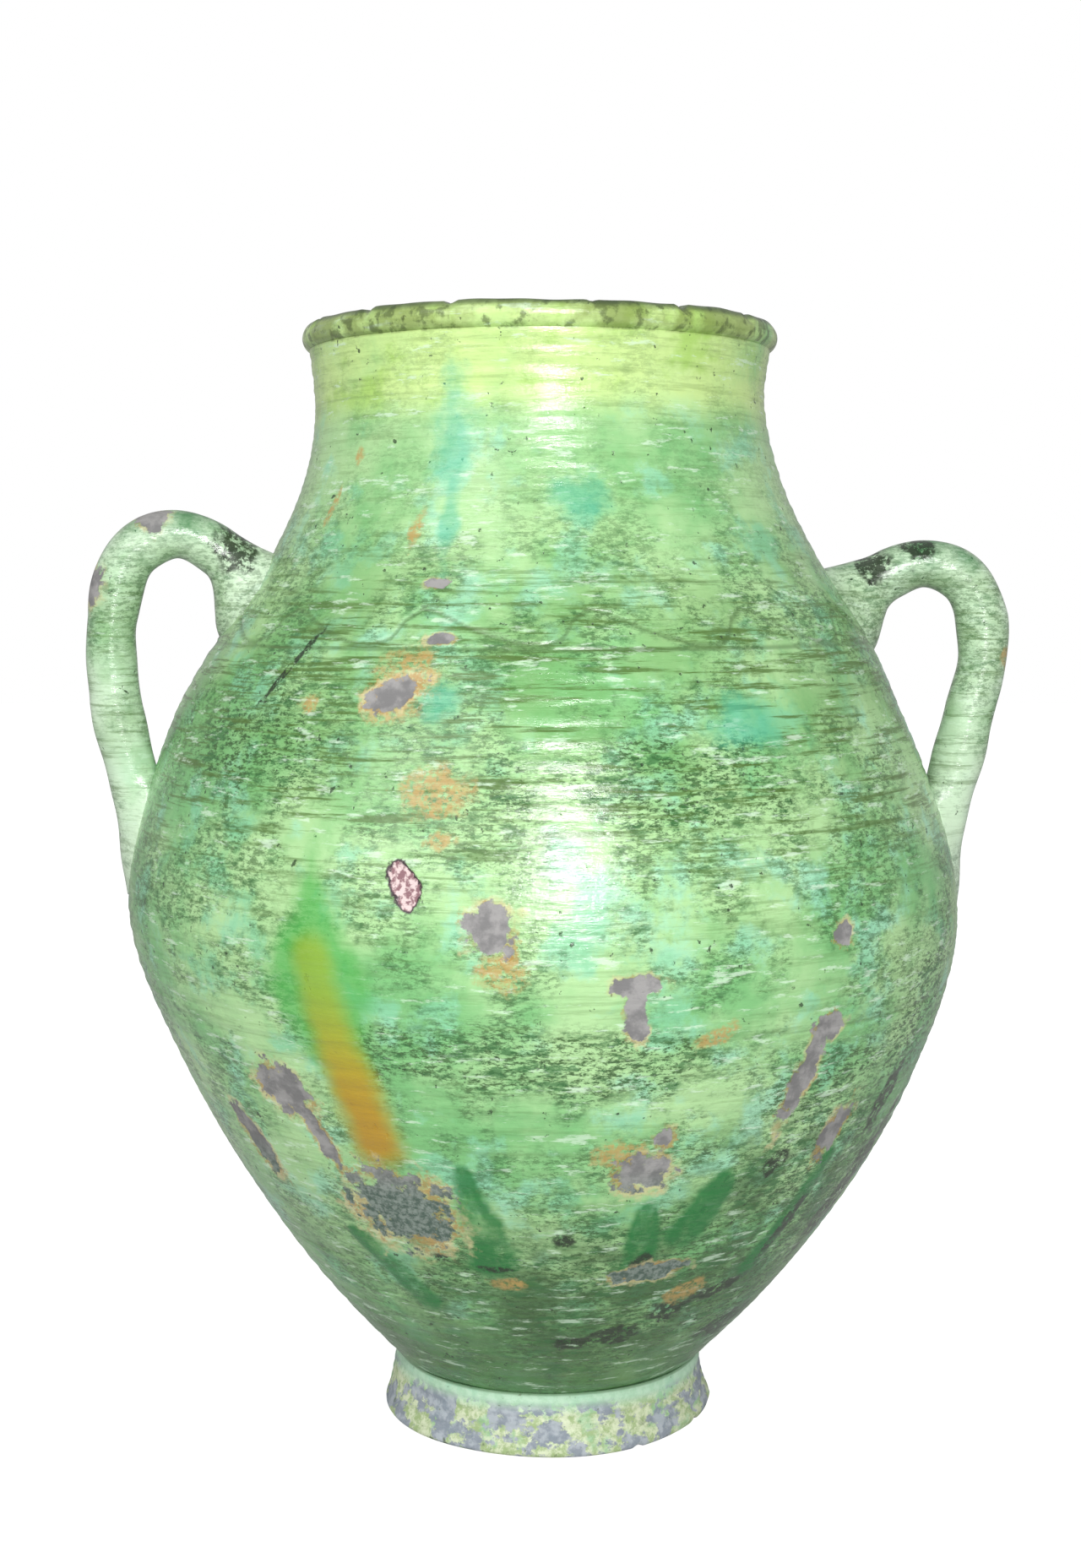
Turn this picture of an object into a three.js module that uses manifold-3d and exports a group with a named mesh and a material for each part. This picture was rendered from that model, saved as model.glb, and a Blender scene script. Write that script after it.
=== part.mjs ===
// A two-handled jar of glazed earthenware, thrown in sections that were luted together with slip.
// Millimetres, +Z up. The origin is the middle of the foot's resting edge, on the jar's turning axis.
// The front faces -Y, and the handles stand to either side, near the X axis.
import * as THREE from "three";
import { mergeVertices } from "three/addons/utils/BufferGeometryUtils.js";
import Module from "manifold-3d";

// Outer outline, bottom to top: the height and the radius of each station that shapes the thrown wall
const WAIST_HEIGHT = 28; // the sharp inner corner where the foot meets the bowl
const WAIST_RADIUS = 71.5;
const BOWL_TURN_HEIGHT = 60;
const BOWL_TURN_RADIUS = 100.8;
const LOWER_WALL_HEIGHT = 110;
const LOWER_WALL_RADIUS = 137.6;
const UNDER_BELLY_HEIGHT = 170;
const UNDER_BELLY_RADIUS = 169.6;
const BELLY_HEIGHT = 236;
const BELLY_RADIUS = 189;
const OVER_BELLY_HEIGHT = 300;
const OVER_BELLY_RADIUS = 175.4;
const SHOULDER_HEIGHT = 350;
const SHOULDER_RADIUS = 153.4;
const NECK_ROOT_HEIGHT = 396;
const NECK_ROOT_RADIUS = 124.2;
const NECK_SWEEP_HEIGHT = 430;
const NECK_SWEEP_RADIUS = 108.4;
const NECK_HEIGHT = 468;
const NECK_RADIUS = 101.8;
const COLLAR_HEIGHT = 488; // the groove under the lip
const COLLAR_RADIUS = 104;

// Where the thrown sections were joined
const BELLY_SEAM_HEIGHT = 206;
const SHOULDER_SEAM_HEIGHT = 358; // hidden by the incised line round the shoulder
const INCISED_LINE_DEPTH = 1.4;

// Walls: thick at the foot, thinner where the clay was drawn up
const WALL_AT_WAIST = 11;
const WALL_AT_COLLAR = 7.6;
const FLOOR_THICKNESS = 15;

// Foot ring
const FOOT_RADIUS = 76.4;
const FOOT_EDGE_ROUND = 3; // worn outer edge
const FOOT_HOLLOW_RADIUS = 60; // inside of the ring where it rests
const BOSS_RADIUS = 54; // turned step under the floor that the ring is set round
const BOSS_DROP = 8;
const BOSS_FLOOR = WAIST_HEIGHT - BOSS_DROP;
const FLOOR_TOP = BOSS_FLOOR + FLOOR_THICKNESS;

// Rolled lip
const LIP_HEIGHT = 12;
const LIP_RADIUS = 107.3;
const LIP_LAND_WIDTH = 5; // flat on top, where a lid would rest
const MOUTH_RADIUS = 93.5;

// Luting: a bed of slip in each joint, a tongue on each upper section, and a coil worked into each inner angle
const SLIP = 0.3;
const TONGUE_HEIGHT = 3.4;
const TONGUE_ROOT_WIDTH = 3.6;
const TONGUE_TIP_WIDTH = 2;
const COIL_HEIGHT = 18;
const COIL_RISE = 4; // how far a coil stands in from the wall
const FOOT_COIL_RADIUS = 6;

// Handles, pulled and bent from a tapered roll. Each station of a centre line is a height and a stand-off:
// how far the middle of the roll is from the outside of the wall at that height.
const LEFT_HANDLE = {
  forward: 8, // degrees that the handle is set towards the front
  root: { height: 372, standOff: -14 },
  rise: { height: 396.5, standOff: 21.5 },
  apex: { height: 406, standOff: 48 },
  bend: { height: 395, standOff: 62.5 },
  reach: { height: 366, standOff: 52 },
  fall: { height: 327, standOff: 26.5 },
  heel: { height: 289, standOff: 4.5 },
  tail: { height: 246, standOff: -10.5 },
};
const RIGHT_HANDLE = {
  forward: 2,
  root: { height: 366, standOff: -14 },
  rise: { height: 384, standOff: 18.5 },
  apex: { height: 393, standOff: 47.5 },
  bend: { height: 383, standOff: 61.5 },
  reach: { height: 352, standOff: 49 },
  fall: { height: 316, standOff: 25.5 },
  heel: { height: 276, standOff: 1.5 },
  tail: { height: 234, standOff: -9.5 },
};
const GRIP_THICKNESS = 22.6; // across the roll, in the plane of the handle
const GRIP_WIDTH = 27; // across the roll, along the wall
const ROOT_THICKNESS = 50; // where the roll was pressed on to the neck
const ROOT_WIDTH = 46;
const ROOT_FLARE = 34; // length of roll that thickens towards the root
const TAIL_WIDTH = 31; // where the roll was smeared down the belly
const TAIL_FLARE = 60;

// Smoothness
const AROUND = 50; // facets round the jar
const RING_STEP = 19; // height between rings on a gentle curve
const HANDLE_RINGS = 30;
const HANDLE_SIDES = 14;
const LIP_STEPS = 3; // facets in each quarter of the roll

// Glaze and clay
const greenGlaze = new THREE.MeshStandardMaterial({ color: 0x8fc98f, roughness: 0.32, metalness: 0 });
const darkGlaze = new THREE.MeshStandardMaterial({ color: 0x6f9a5a, roughness: 0.38, metalness: 0 });
const wornGlaze = new THREE.MeshStandardMaterial({ color: 0xb4c3a4, roughness: 0.7, metalness: 0 });
const bareClay = new THREE.MeshStandardMaterial({ color: 0xa98f74, roughness: 0.9, metalness: 0 });

const OUTLINE = [
  [WAIST_HEIGHT, WAIST_RADIUS],
  [BOWL_TURN_HEIGHT, BOWL_TURN_RADIUS],
  [LOWER_WALL_HEIGHT, LOWER_WALL_RADIUS],
  [UNDER_BELLY_HEIGHT, UNDER_BELLY_RADIUS],
  [BELLY_HEIGHT, BELLY_RADIUS],
  [OVER_BELLY_HEIGHT, OVER_BELLY_RADIUS],
  [SHOULDER_HEIGHT, SHOULDER_RADIUS],
  [NECK_ROOT_HEIGHT, NECK_ROOT_RADIUS],
  [NECK_SWEEP_HEIGHT, NECK_SWEEP_RADIUS],
  [NECK_HEIGHT, NECK_RADIUS],
  [COLLAR_HEIGHT, COLLAR_RADIUS],
];

// The rise of each stretch of the outline, and the slope of the curve at each station between two stretches.
const stretchSlope = (i) => (OUTLINE[i + 1][1] - OUTLINE[i][1]) / (OUTLINE[i + 1][0] - OUTLINE[i][0]);
function stationSlope(i) {
  const last = OUTLINE.length - 1;
  if (i === 0) return stretchSlope(0);
  if (i === last) return stretchSlope(last - 1);
  const below = OUTLINE[i][0] - OUTLINE[i - 1][0];
  const above = OUTLINE[i + 1][0] - OUTLINE[i][0];
  return (above * stretchSlope(i - 1) + below * stretchSlope(i)) / (below + above);
}

// Outside radius of the thrown wall at a height: a smooth curve through the stations.
function wallRadius(height) {
  const last = OUTLINE.length - 2;
  const above = OUTLINE.findIndex(([z]) => z > height);
  const i = above < 0 ? last : Math.min(last, Math.max(0, above - 1));
  const [z0, r0] = OUTLINE[i];
  const [z1, r1] = OUTLINE[i + 1];
  const span = z1 - z0;
  const t = THREE.MathUtils.clamp((height - z0) / span, 0, 1);
  const t2 = t * t;
  const t3 = t2 * t;
  return (
    (2 * t3 - 3 * t2 + 1) * r0 +
    (t3 - 2 * t2 + t) * span * stationSlope(i) +
    (3 * t2 - 2 * t3) * r1 +
    (t3 - t2) * span * stationSlope(i + 1)
  );
}

// Inside radius at a height, so that the wall has its thickness square to its surface.
function innerRadius(height) {
  const share = THREE.MathUtils.clamp((height - WAIST_HEIGHT) / (COLLAR_HEIGHT - WAIST_HEIGHT), 0, 1);
  const thickness = THREE.MathUtils.lerp(WALL_AT_WAIST, WALL_AT_COLLAR, share);
  const probe = 1;
  const low = Math.max(WAIST_HEIGHT, height - probe);
  const high = Math.min(COLLAR_HEIGHT, height + probe);
  const slope = (wallRadius(high) - wallRadius(low)) / (high - low);
  return wallRadius(height) - thickness * Math.hypot(1, slope);
}

// Even heights from one level to another, both included, no further apart than RING_STEP.
function levels(from, to) {
  const count = Math.max(1, Math.ceil(Math.abs(to - from) / RING_STEP));
  return Array.from({ length: count + 1 }, (_, i) => from + ((to - from) * i) / count);
}

const outerWall = (from, to) => levels(from, to).map((z) => [wallRadius(z), z]);
const innerWall = (from, to) => levels(from, to).map((z) => [innerRadius(z), z]);

// A solid of revolution from [radius, height] points that go round the section anticlockwise.
function turned(points, closed = true) {
  const section = points.map(([r, z]) => new THREE.Vector2(r, z));
  if (closed) section.push(section[0].clone());
  return new THREE.LatheGeometry(section, AROUND).rotateX(Math.PI / 2);
}

// The tongue and groove of a seam, from the outside of the wall to the inside. The groove is the tongue's
// outline moved down by one bed of slip and widened by one on each flank.
function seam(height, offset) {
  const middle = (wallRadius(height) + innerRadius(height)) / 2;
  const root = TONGUE_ROOT_WIDTH / 2;
  const tip = TONGUE_TIP_WIDTH / 2;
  const spare = offset < 0 ? SLIP : 0;
  return [
    [middle + root + spare, height + offset],
    [middle + tip + spare, height + offset - TONGUE_HEIGHT],
    [middle - tip - spare, height + offset - TONGUE_HEIGHT],
    [middle - root - spare, height + offset],
  ];
}
const grooveOf = (height) => seam(height, -SLIP / 2);
const tongueOf = (height) => seam(height, SLIP / 2).reverse();

// The foot is a thrown ring, flared to its resting edge, set round the boss under the bowl's floor.
function footRing() {
  const top = WAIST_HEIGHT - SLIP;
  const inside = BOSS_RADIUS + SLIP;
  const worn = Array.from({ length: LIP_STEPS + 1 }, (_, i) => {
    const a = (-Math.PI / 2) * (1 - i / LIP_STEPS);
    return [
      FOOT_RADIUS - FOOT_EDGE_ROUND + FOOT_EDGE_ROUND * Math.cos(a),
      FOOT_EDGE_ROUND + FOOT_EDGE_ROUND * Math.sin(a),
    ];
  });
  const hollow = FOOT_RADIUS - WAIST_RADIUS; // how far the outside sweeps in
  const sweep = [
    [WAIST_RADIUS + hollow * 0.45, top * 0.45],
    [WAIST_RADIUS + hollow * 0.12, top * 0.8],
    [WAIST_RADIUS, top],
  ];
  return turned([...worn, ...sweep, [inside, top], [inside, BOSS_FLOOR], [FOOT_HOLLOW_RADIUS, 0]]);
}

// The lower bowl carries the floor, and its top edge is grooved for the upper bowl.
function lowerBowl() {
  const edge = BELLY_SEAM_HEIGHT - SLIP / 2;
  return turned(
    [
      [0, BOSS_FLOOR],
      [BOSS_RADIUS, BOSS_FLOOR],
      [BOSS_RADIUS, WAIST_HEIGHT],
      ...outerWall(WAIST_HEIGHT, edge),
      ...grooveOf(BELLY_SEAM_HEIGHT),
      ...innerWall(edge, FLOOR_TOP),
      [0, FLOOR_TOP],
    ],
    false,
  );
}

// The upper bowl rises from the belly to the shoulder, where its edge is bevelled to leave the incised line.
function upperBowl() {
  const foot = BELLY_SEAM_HEIGHT + SLIP / 2;
  const edge = SHOULDER_SEAM_HEIGHT - SLIP / 2;
  const bevel = [wallRadius(edge) - INCISED_LINE_DEPTH, edge];
  return turned([
    ...outerWall(foot, edge - INCISED_LINE_DEPTH),
    bevel,
    ...grooveOf(SHOULDER_SEAM_HEIGHT),
    ...innerWall(edge, foot),
    ...tongueOf(BELLY_SEAM_HEIGHT),
  ]);
}

// The collar is the shoulder's upper part and the neck, thrown as one tapering ring.
function neckCollar() {
  const foot = SHOULDER_SEAM_HEIGHT + SLIP / 2;
  const edge = COLLAR_HEIGHT - SLIP / 2;
  const bevel = [wallRadius(foot) - INCISED_LINE_DEPTH, foot];
  return turned([
    bevel,
    ...outerWall(foot + INCISED_LINE_DEPTH, edge),
    ...grooveOf(COLLAR_HEIGHT),
    ...innerWall(edge, foot),
    ...tongueOf(SHOULDER_SEAM_HEIGHT),
  ]);
}

// One quarter of the roll, as an elliptical arc from one angle to the next about a centre.
function quarter(centre, reach, from, to) {
  return Array.from({ length: LIP_STEPS + 1 }, (_, i) => {
    const a = THREE.MathUtils.degToRad(from + ((to - from) * i) / LIP_STEPS);
    return [centre[0] + reach[0] * Math.cos(a), centre[1] + reach[1] * Math.sin(a)];
  });
}

// The lip is rolled outwards over the collar: rounded outside and in, with a narrow flat land on top.
function lipRoll() {
  const foot = COLLAR_HEIGHT + SLIP / 2;
  const top = COLLAR_HEIGHT + LIP_HEIGHT;
  const landOuter = (LIP_RADIUS + MOUTH_RADIUS + LIP_LAND_WIDTH) / 2;
  const landInner = landOuter - LIP_LAND_WIDTH;
  const bulge = foot + LIP_HEIGHT * 0.45;
  const outside = [
    ...quarter([landOuter, bulge], [LIP_RADIUS - landOuter, bulge - foot], -60, 0),
    ...quarter([landOuter, bulge], [LIP_RADIUS - landOuter, top - bulge], 0, 90).slice(1),
  ];
  const inside = quarter([landInner, bulge], [landInner - MOUTH_RADIUS, top - bulge], 90, 180);
  return turned([
    [COLLAR_RADIUS, foot],
    ...outside,
    ...inside,
    [innerRadius(COLLAR_HEIGHT), foot],
    ...tongueOf(COLLAR_HEIGHT),
  ]);
}

// Radius of a turned wall between its rings, where the surface is flat from one ring to the next.
function facetRadius(rings, height) {
  const above = rings.findIndex(([, z]) => z >= height);
  const i = THREE.MathUtils.clamp(above, 1, rings.length - 1);
  const [r0, z0] = rings[i - 1];
  const [r1, z1] = rings[i];
  return THREE.MathUtils.lerp(r0, r1, (height - z0) / (z1 - z0));
}

// A coil of clay smeared over a seam from inside: its back lies along the wall, and its face swells inwards.
function innerCoil(below, seamHeight, above) {
  const under = innerWall(below, seamHeight - SLIP / 2);
  const over = innerWall(seamHeight + SLIP / 2, above);
  const backAt = (z) => facetRadius(z < seamHeight ? under : over, z) - SLIP;
  const half = COIL_HEIGHT / 2;
  const back = [-half, -SLIP / 2, SLIP / 2, half].map((rise) => {
    const z = seamHeight + rise;
    return [backAt(z), z];
  });
  const face = [0.6, 0.25, -0.25, -0.6].map((share) => {
    const z = seamHeight + share * half;
    return [backAt(z) - COIL_RISE * Math.sqrt(1 - share * share), z];
  });
  return turned([...back, ...face]);
}

// A coil worked into the angle between the foot ring and the floor's boss, under the jar.
function footCoil() {
  const corner = [BOSS_RADIUS, BOSS_FLOOR - SLIP];
  const ringRadius = (z) =>
    THREE.MathUtils.lerp(BOSS_RADIUS + SLIP, FOOT_HOLLOW_RADIUS, 1 - z / BOSS_FLOOR) - SLIP;
  const low = corner[1] - FOOT_COIL_RADIUS;
  const middle = corner[1] - FOOT_COIL_RADIUS * 0.4;
  const face = FOOT_COIL_RADIUS * 0.6;
  return turned([
    [corner[0] - FOOT_COIL_RADIUS, corner[1]],
    [corner[0] - face, middle],
    [ringRadius(low), low],
    [ringRadius(corner[1]), corner[1]],
  ]);
}

// Width of the roll at a distance along it: flared at the root, and again where it is smeared into the wall.
function rollSize(along, length) {
  const root = THREE.MathUtils.smoothstep(ROOT_FLARE - along, 0, ROOT_FLARE);
  const tail = THREE.MathUtils.smoothstep(along, length - TAIL_FLARE, length);
  return {
    thickness: THREE.MathUtils.lerp(GRIP_THICKNESS, ROOT_THICKNESS, root),
    width: THREE.MathUtils.lerp(THREE.MathUtils.lerp(GRIP_WIDTH, TAIL_WIDTH, tail), ROOT_WIDTH, root),
  };
}

// A closed loft of elliptical rings along a curve in the XZ plane.
function handleLoft(curve) {
  const length = curve.getLength();
  const positions = [];
  const faces = [];
  const across = new THREE.Vector3(0, 1, 0);
  for (let i = 0; i <= HANDLE_RINGS; i++) {
    const u = i / HANDLE_RINGS;
    const middle = curve.getPointAt(u);
    const outward = new THREE.Vector3().crossVectors(curve.getTangentAt(u), across);
    const { thickness, width } = rollSize(u * length, length);
    for (let j = 0; j < HANDLE_SIDES; j++) {
      const a = (2 * Math.PI * j) / HANDLE_SIDES;
      const point = middle
        .clone()
        .addScaledVector(outward, (thickness / 2) * Math.cos(a))
        .addScaledVector(across, (width / 2) * Math.sin(a));
      positions.push(...point.toArray());
    }
  }
  const at = (i, j) => i * HANDLE_SIDES + (j % HANDLE_SIDES);
  for (let i = 0; i < HANDLE_RINGS; i++) {
    for (let j = 0; j < HANDLE_SIDES; j++) {
      faces.push(at(i, j), at(i + 1, j), at(i + 1, j + 1), at(i, j), at(i + 1, j + 1), at(i, j + 1));
    }
  }
  for (let j = 1; j < HANDLE_SIDES - 1; j++) {
    faces.push(at(0, 0), at(0, j), at(0, j + 1));
    faces.push(at(HANDLE_RINGS, 0), at(HANDLE_RINGS, j + 1), at(HANDLE_RINGS, j));
  }
  const geometry = new THREE.BufferGeometry();
  geometry.setAttribute("position", new THREE.Float32BufferAttribute(positions, 3));
  geometry.setIndex(faces);
  return geometry;
}

// Boolean cuts
const wasm = await Module();
wasm.setup();

function solidOf(geometry) {
  const bare = geometry.clone();
  bare.deleteAttribute("normal");
  bare.deleteAttribute("uv");
  const merged = mergeVertices(bare, 1e-3);
  return new wasm.Manifold(
    new wasm.Mesh({
      numProp: 3,
      vertProperties: merged.attributes.position.array,
      triVerts: new Uint32Array(merged.index.array),
    }),
  );
}

function geometryOf(solid) {
  const mesh = solid.getMesh();
  const geometry = new THREE.BufferGeometry();
  geometry.setAttribute("position", new THREE.BufferAttribute(mesh.vertProperties, 3));
  geometry.setIndex(new THREE.BufferAttribute(mesh.triVerts, 1));
  return geometry.toNonIndexed();
}

// The space that the thrown wall and one bed of slip fill, which cuts each handle's ends to their seats.
// Its rings are at the same heights as those of the sections it stands for.
function wallSpace() {
  const joints = [WAIST_HEIGHT, BELLY_SEAM_HEIGHT, SHOULDER_SEAM_HEIGHT, COLLAR_HEIGHT];
  const outside = joints
    .slice(1)
    .flatMap((top, i) => outerWall(joints[i], top).slice(i ? 1 : 0))
    .map(([r, z]) => [r + SLIP, z]);
  return solidOf(turned([[0, WAIST_HEIGHT], ...outside, [0, COLLAR_HEIGHT]], false));
}

// A pulled handle, bent through its stations, turned to its place round the jar and cut to the wall.
function handle(stations, azimuth) {
  const { root, rise, apex, bend, reach, fall, heel, tail } = stations;
  const line = [root, rise, apex, bend, reach, fall, heel, tail].map(
    ({ height, standOff }) => new THREE.Vector3(wallRadius(height) + standOff, 0, height),
  );
  const curve = new THREE.CatmullRomCurve3(line, false, "centripetal");
  const roll = handleLoft(curve).rotateZ(THREE.MathUtils.degToRad(azimuth));
  const pieces = solidOf(roll).subtract(wallSpace()).decompose();
  const largest = pieces.reduce((a, b) => (b.volume() > a.volume() ? b : a));
  return geometryOf(largest);
}

const jar = new THREE.Group();
function add(name, geometry, material) {
  const mesh = new THREE.Mesh(geometry, material);
  mesh.name = name;
  jar.add(mesh);
}

add("foot_ring", footRing(), wornGlaze);
add("lower_bowl", lowerBowl(), greenGlaze);
add("upper_bowl", upperBowl(), greenGlaze);
add("neck_collar", neckCollar(), greenGlaze);
add("lip_roll", lipRoll(), darkGlaze);
add("left_handle", handle(LEFT_HANDLE, 180 + LEFT_HANDLE.forward), greenGlaze);
add("right_handle", handle(RIGHT_HANDLE, -RIGHT_HANDLE.forward), greenGlaze);
add("foot_seam_coil", footCoil(), bareClay);
add("belly_seam_coil", innerCoil(FLOOR_TOP, BELLY_SEAM_HEIGHT, SHOULDER_SEAM_HEIGHT - SLIP / 2), bareClay);
add("neck_seam_coil", innerCoil(BELLY_SEAM_HEIGHT + SLIP / 2, SHOULDER_SEAM_HEIGHT, COLLAR_HEIGHT - SLIP / 2), bareClay);

export default jar;
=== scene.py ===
"""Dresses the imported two-handled jar: weathered green lead glaze over thrown red clay."""

import logging
import math
from dataclasses import dataclass
from enum import Enum

import bmesh
import bpy
import numpy as np
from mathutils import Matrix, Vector


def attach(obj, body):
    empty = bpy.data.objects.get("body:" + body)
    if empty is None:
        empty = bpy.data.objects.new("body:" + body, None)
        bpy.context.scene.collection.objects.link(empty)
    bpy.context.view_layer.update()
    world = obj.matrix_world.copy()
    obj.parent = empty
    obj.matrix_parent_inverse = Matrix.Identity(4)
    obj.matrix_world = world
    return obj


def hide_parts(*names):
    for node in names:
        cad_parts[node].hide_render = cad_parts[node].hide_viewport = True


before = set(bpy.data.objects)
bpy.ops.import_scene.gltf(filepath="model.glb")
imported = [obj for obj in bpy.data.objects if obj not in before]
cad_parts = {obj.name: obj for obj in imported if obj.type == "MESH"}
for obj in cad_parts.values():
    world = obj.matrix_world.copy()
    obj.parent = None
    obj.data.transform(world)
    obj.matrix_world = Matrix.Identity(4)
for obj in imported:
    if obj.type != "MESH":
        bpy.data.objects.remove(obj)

LOG = logging.getLogger("jar")
MM = 0.001
COILS = ("foot_seam_coil", "belly_seam_coil", "neck_seam_coil")

Values = float | np.ndarray
Points = list[tuple[float, float]]
Socket = bpy.types.NodeSocket
Colour = int | Socket
Material = bpy.types.Material

# The thrown wall's outline as (height, radius) in millimetres, the same stations as the solid model's
OUTLINE = (
    (28.0, 71.5),
    (60.0, 100.8),
    (110.0, 137.6),
    (170.0, 169.6),
    (236.0, 189.0),
    (300.0, 175.4),
    (350.0, 153.4),
    (396.0, 124.2),
    (430.0, 108.4),
    (468.0, 101.8),
    (488.0, 104.0),
)
WAIST, BELLY_SEAM, SHOULDER_SEAM, COLLAR = 28.0, 206.0, 358.0, 488.0
WALL_AT_WAIST, WALL_AT_COLLAR = 11.0, 7.6
FLOOR_TOP, BOSS_FLOOR, BOSS_RADIUS = 35.0, 20.0, 54.0
INSIDE_RINGS = 12

# How far the jar's middle has sagged towards +X at each height, in millimetres
LEAN = (
    (0.0, 2.2),
    (60.0, 4.0),
    (115.0, 4.9),
    (150.0, 4.5),
    (190.0, 3.0),
    (240.0, 0.0),
    (330.0, -1.5),
    (350.0, 0.0),
    (370.0, 1.5),
    (440.0, 0.0),
    (470.0, -1.4),
    (500.0, -1.0),
)

# Surface relief in millimetres: throwing ridges, the cut line and wave, the burr beside the wave, thick runs
RIDGE_RISE, RIDGE_PITCH, FINE_RISE, FINE_PITCH = 0.20, 8.5, 0.10, 3.9
CUT_WIDTH, CUT_DEPTH, WAVE_WIDTH, WAVE_DEPTH = 0.9, 0.9, 1.0, 0.8
BURR_RISE, BURR_OFFSET, BURR_WIDTH, RUN_RISE = 0.3, 2.0, 0.8, 0.6

FULL_TURN = 360
OUTSIDE = -1.0
CUT = "cut"
LEAD_GLAZE_IOR = 1.6
LAMP_TARGET = (0, 0, 0.3)


class MarkKind(Enum):
    """What happened to the glaze at a mark."""

    FLAKE = "flake"  # glaze lost down to grey clay, with an ochre edge
    OCHRE = "ochre"  # thin glaze, stained by the clay
    DRIP = "drip"  # pooled dark green glaze
    AMBER = "amber"  # iron-rich run, amber in the middle
    DARK = "dark"  # soot-black bloom
    TEAL = "teal"  # copper-rich run
    LEAF = "leaf"  # clear green halo round an amber run
    CHIP = "chip"  # spalled pit with a dark rim and pink clay in it
    SHADE = "shade"  # thicker mottling


RUNS = (MarkKind.DRIP, MarkKind.AMBER)  # these keep their width, with round ends
LOSSES = ((MarkKind.FLAKE, 0.4), (MarkKind.CHIP, 1.3))  # how deep each goes, in millimetres


@dataclass(frozen=True)
class Mark:
    """One mark on the glaze, in degrees round from the front and millimetres."""

    kind: MarkKind
    azimuth: float
    height: float
    wide: float
    tall: float
    tilt: float = 0.0

    def field(self, azimuth: np.ndarray, height: np.ndarray) -> np.ndarray:
        """Finds how deep each point lies in the mark.

        Args:
            azimuth: Degrees round from the front.
            height: Millimetres above the floor.

        Returns:
            1 in the mark's middle, 0 on its edge, less outside.
        """
        turn = np.radians((azimuth - self.azimuth + 180) % FULL_TURN - 180)
        across = turn * wall_radius(self.height)
        up = height - self.height
        a = math.radians(self.tilt)
        u = across * math.cos(a) + up * math.sin(a)
        v = -across * math.sin(a) + up * math.cos(a)
        half = self.tall / 2
        if self.kind is MarkKind.LEAF:
            return 1 - np.abs(v) / half - np.abs(u) / self.wide
        if self.kind in RUNS:
            thin = min(self.wide, self.tall) / 2
            swell = 1 - 0.3 * np.clip(v / half, -1, 1)
            return 1 - np.hypot(u / swell, np.maximum(np.abs(v) - half + thin, 0)) / thin
        return 1 - np.hypot(u / (self.wide / 2), v / half)


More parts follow.
